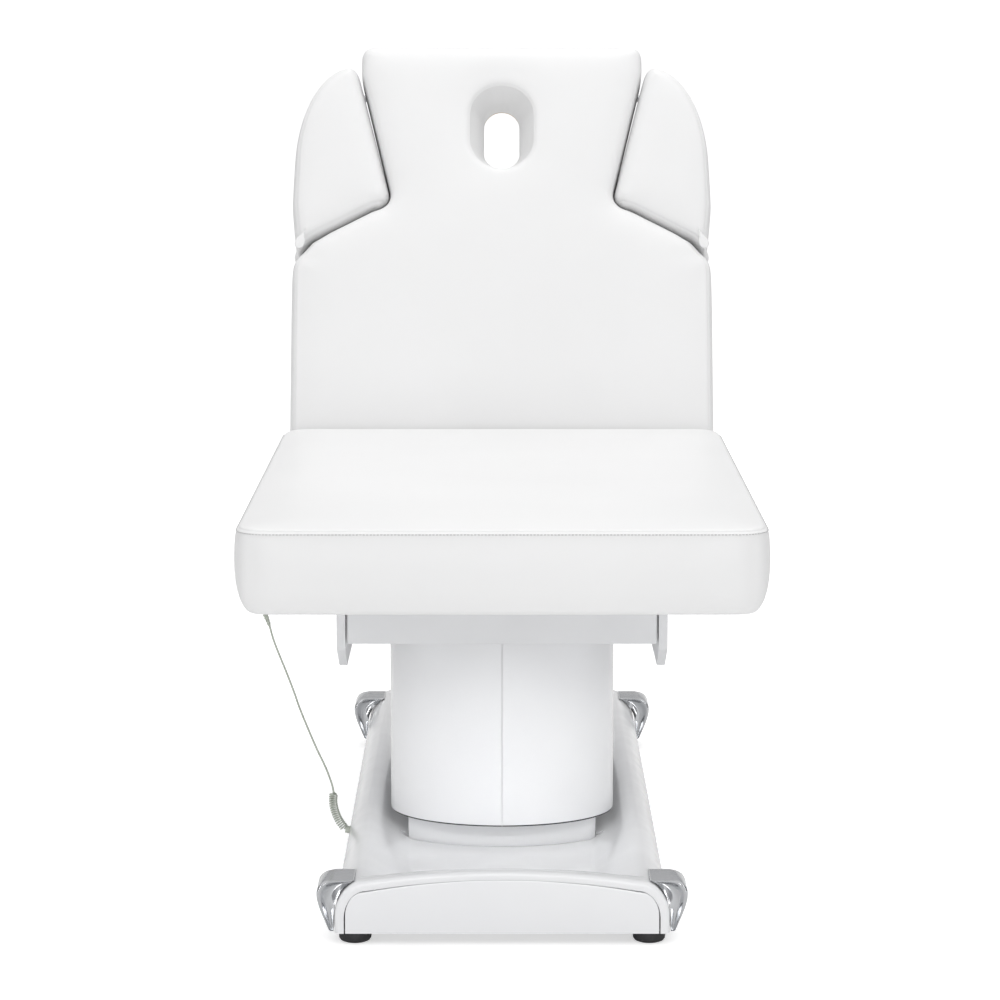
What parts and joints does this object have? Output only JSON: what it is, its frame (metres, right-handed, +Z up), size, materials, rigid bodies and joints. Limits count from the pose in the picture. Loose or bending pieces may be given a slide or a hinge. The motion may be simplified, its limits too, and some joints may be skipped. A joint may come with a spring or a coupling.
{
  "type": "facial treatment bed",
  "caption": "Upholstered treatment bed with a one-piece seat, a reclining back with a face opening, sliding arm pads, a telescopic lift column and a long base.",
  "frame": {"origin": "on the floor, under the middle of the whole bed with its back raised", "axes": "+X across the bed, to the user's left when lying on the back with the head at +Y; +Y from the foot end to the head end; +Z up"},
  "size_m": [0.7263, 1.4765, 1.2348],
  "materials": {
    "upholstery": "satin",
    "shell_white": "gloss",
    "frame_paint": "satin",
    "polished_cap": "polished",
    "bright_steel": "polished",
    "zinc_steel": "satin",
    "column_alloy": "satin",
    "nylon": "matte",
    "foot_rubber": "matte",
    "black_plastic": "satin",
    "handset_plastic": "satin",
    "button_grey": "matte",
    "cord_grey": "satin",
    "plywood": "matte"
  },
  "bodies": {
    "base": {"base_frame": "zinc_steel", "base_shell": "shell_white", "front_fascia": "shell_white", "rear_fascia": "shell_white", "corner_cap_front_left": "polished_cap", "corner_cap_front_right": "polished_cap", "corner_cap_rear_left": "polished_cap", "corner_cap_rear_right": "polished_cap", "inner_cover": "shell_white", "column_outer": "column_alloy", "column_outer_glides": "nylon", "lift_actuator_body": "black_plastic", "control_box": "black_plastic", "mains_inlet": "black_plastic", "handset_socket": "black_plastic", "base_bolts": "bright_steel", "cord_coil": "cord_grey"},
    "lift_middle": {"column_middle": "column_alloy", "column_middle_glides": "nylon", "lift_actuator_mid_tube": "bright_steel"},
    "bed_frame": {"column_inner": "column_alloy", "lift_actuator_rod": "bright_steel", "lift_top_plate": "zinc_steel", "outer_cover_left": "shell_white", "outer_cover_right": "shell_white", "platform_frame": "frame_paint", "side_plate_left": "frame_paint", "side_plate_right": "frame_paint", "seat_frame": "frame_paint", "seat_board": "plywood", "seat_cushion": "upholstery", "back_hinge_pins": "bright_steel", "frame_bolts": "bright_steel", "handset_hook": "zinc_steel", "handset_back": "handset_plastic", "handset_front": "handset_plastic", "handset_strain_relief": "cord_grey", "cord_lead": "cord_grey"},
    "back": {"back_frame": "frame_paint", "back_board": "plywood", "back_cushion": "upholstery", "hinge_bushes": "nylon"},
    "pad_left": {"pad_cushion_left": "upholstery", "pad_board_left": "plywood", "pad_bracket_left": "zinc_steel"},
    "pad_right": {"pad_cushion_right": "upholstery", "pad_board_right": "plywood", "pad_bracket_right": "zinc_steel"},
    "back_actuator": {"back_actuator_housing": "black_plastic"},
    "back_actuator_ram": {"back_actuator_rod": "bright_steel", "back_actuator_pins": "bright_steel"},
    "foot_front_left": {"foot_front_left": "foot_rubber"},
    "foot_front_right": {"foot_front_right": "foot_rubber"},
    "foot_rear_left": {"foot_rear_left": "foot_rubber"},
    "foot_rear_right": {"foot_rear_right": "foot_rubber"},
    "button_lift_up": {"button_lift_up": "button_grey"},
    "button_lift_down": {"button_lift_down": "button_grey"},
    "button_back_up": {"button_back_up": "button_grey"},
    "button_back_down": {"button_back_down": "button_grey"}
  },
  "joints": [
    {"name": "lift", "type": "slide", "parent": "base", "child": "bed_frame", "axis": [0, 0, 1], "range_m": [0, 0.24]},
    {"name": "lift_middle_stage", "type": "slide", "parent": "base", "child": "lift_middle", "axis": [0, 0, 1], "range_m": [0, 0.12]},
    {"name": "back_recline", "type": "hinge", "parent": "bed_frame", "child": "back", "pos_m": [0, 0.385, 0.555], "axis": [1, 0, 0], "range_deg": [-71, 0]},
    {"name": "back_actuator_swing", "type": "hinge", "parent": "bed_frame", "child": "back_actuator", "pos_m": [0, -0.045, 0.405], "axis": [1, 0, 0], "range_deg": [0, 2.45]},
    {"name": "back_actuator_extend", "type": "slide", "parent": "back_actuator", "child": "back_actuator_ram", "axis": [0, 0.9926, 0.1215], "range_m": [-0.127, 0]},
    {"name": "pad_slide_left", "type": "slide", "parent": "back", "child": "pad_left", "axis": [-1, 0, 0], "range_m": [0, 0.12]},
    {"name": "pad_slide_right", "type": "slide", "parent": "back", "child": "pad_right", "axis": [1, 0, 0], "range_m": [0, 0.12]},
    {"name": "foot_screw_front_left", "type": "slide", "parent": "base", "child": "foot_front_left", "axis": [0, 0, -1], "range_m": [0, 0.012]},
    {"name": "foot_screw_front_right", "type": "slide", "parent": "base", "child": "foot_front_right", "axis": [0, 0, -1], "range_m": [0, 0.012]},
    {"name": "foot_screw_rear_left", "type": "slide", "parent": "base", "child": "foot_rear_left", "axis": [0, 0, -1], "range_m": [0, 0.012]},
    {"name": "foot_screw_rear_right", "type": "slide", "parent": "base", "child": "foot_rear_right", "axis": [0, 0, -1], "range_m": [0, 0.012]},
    {"name": "button_lift_up_press", "type": "slide", "parent": "bed_frame", "child": "button_lift_up", "axis": [1, 0, 0], "range_m": [0, 0.0015], "stiffness_N_per_m": 600, "springref_m": -0.0005},
    {"name": "button_lift_down_press", "type": "slide", "parent": "bed_frame", "child": "button_lift_down", "axis": [1, 0, 0], "range_m": [0, 0.0015], "stiffness_N_per_m": 600, "springref_m": -0.0005},
    {"name": "button_back_up_press", "type": "slide", "parent": "bed_frame", "child": "button_back_up", "axis": [1, 0, 0], "range_m": [0, 0.0015], "stiffness_N_per_m": 600, "springref_m": -0.0005},
    {"name": "button_back_down_press", "type": "slide", "parent": "bed_frame", "child": "button_back_down", "axis": [1, 0, 0], "range_m": [0, 0.0015], "stiffness_N_per_m": 600, "springref_m": -0.0005}
  ],
  "couplings": [
    {"joint": "lift_middle_stage", "follows": "lift", "ratio": 0.5},
    {"joint": "back_actuator_swing", "follows": "back_recline", "ratio": -0.033762},
    {"joint": "back_actuator_extend", "follows": "back_recline", "m_per_rad": 0.10207}
  ]
}
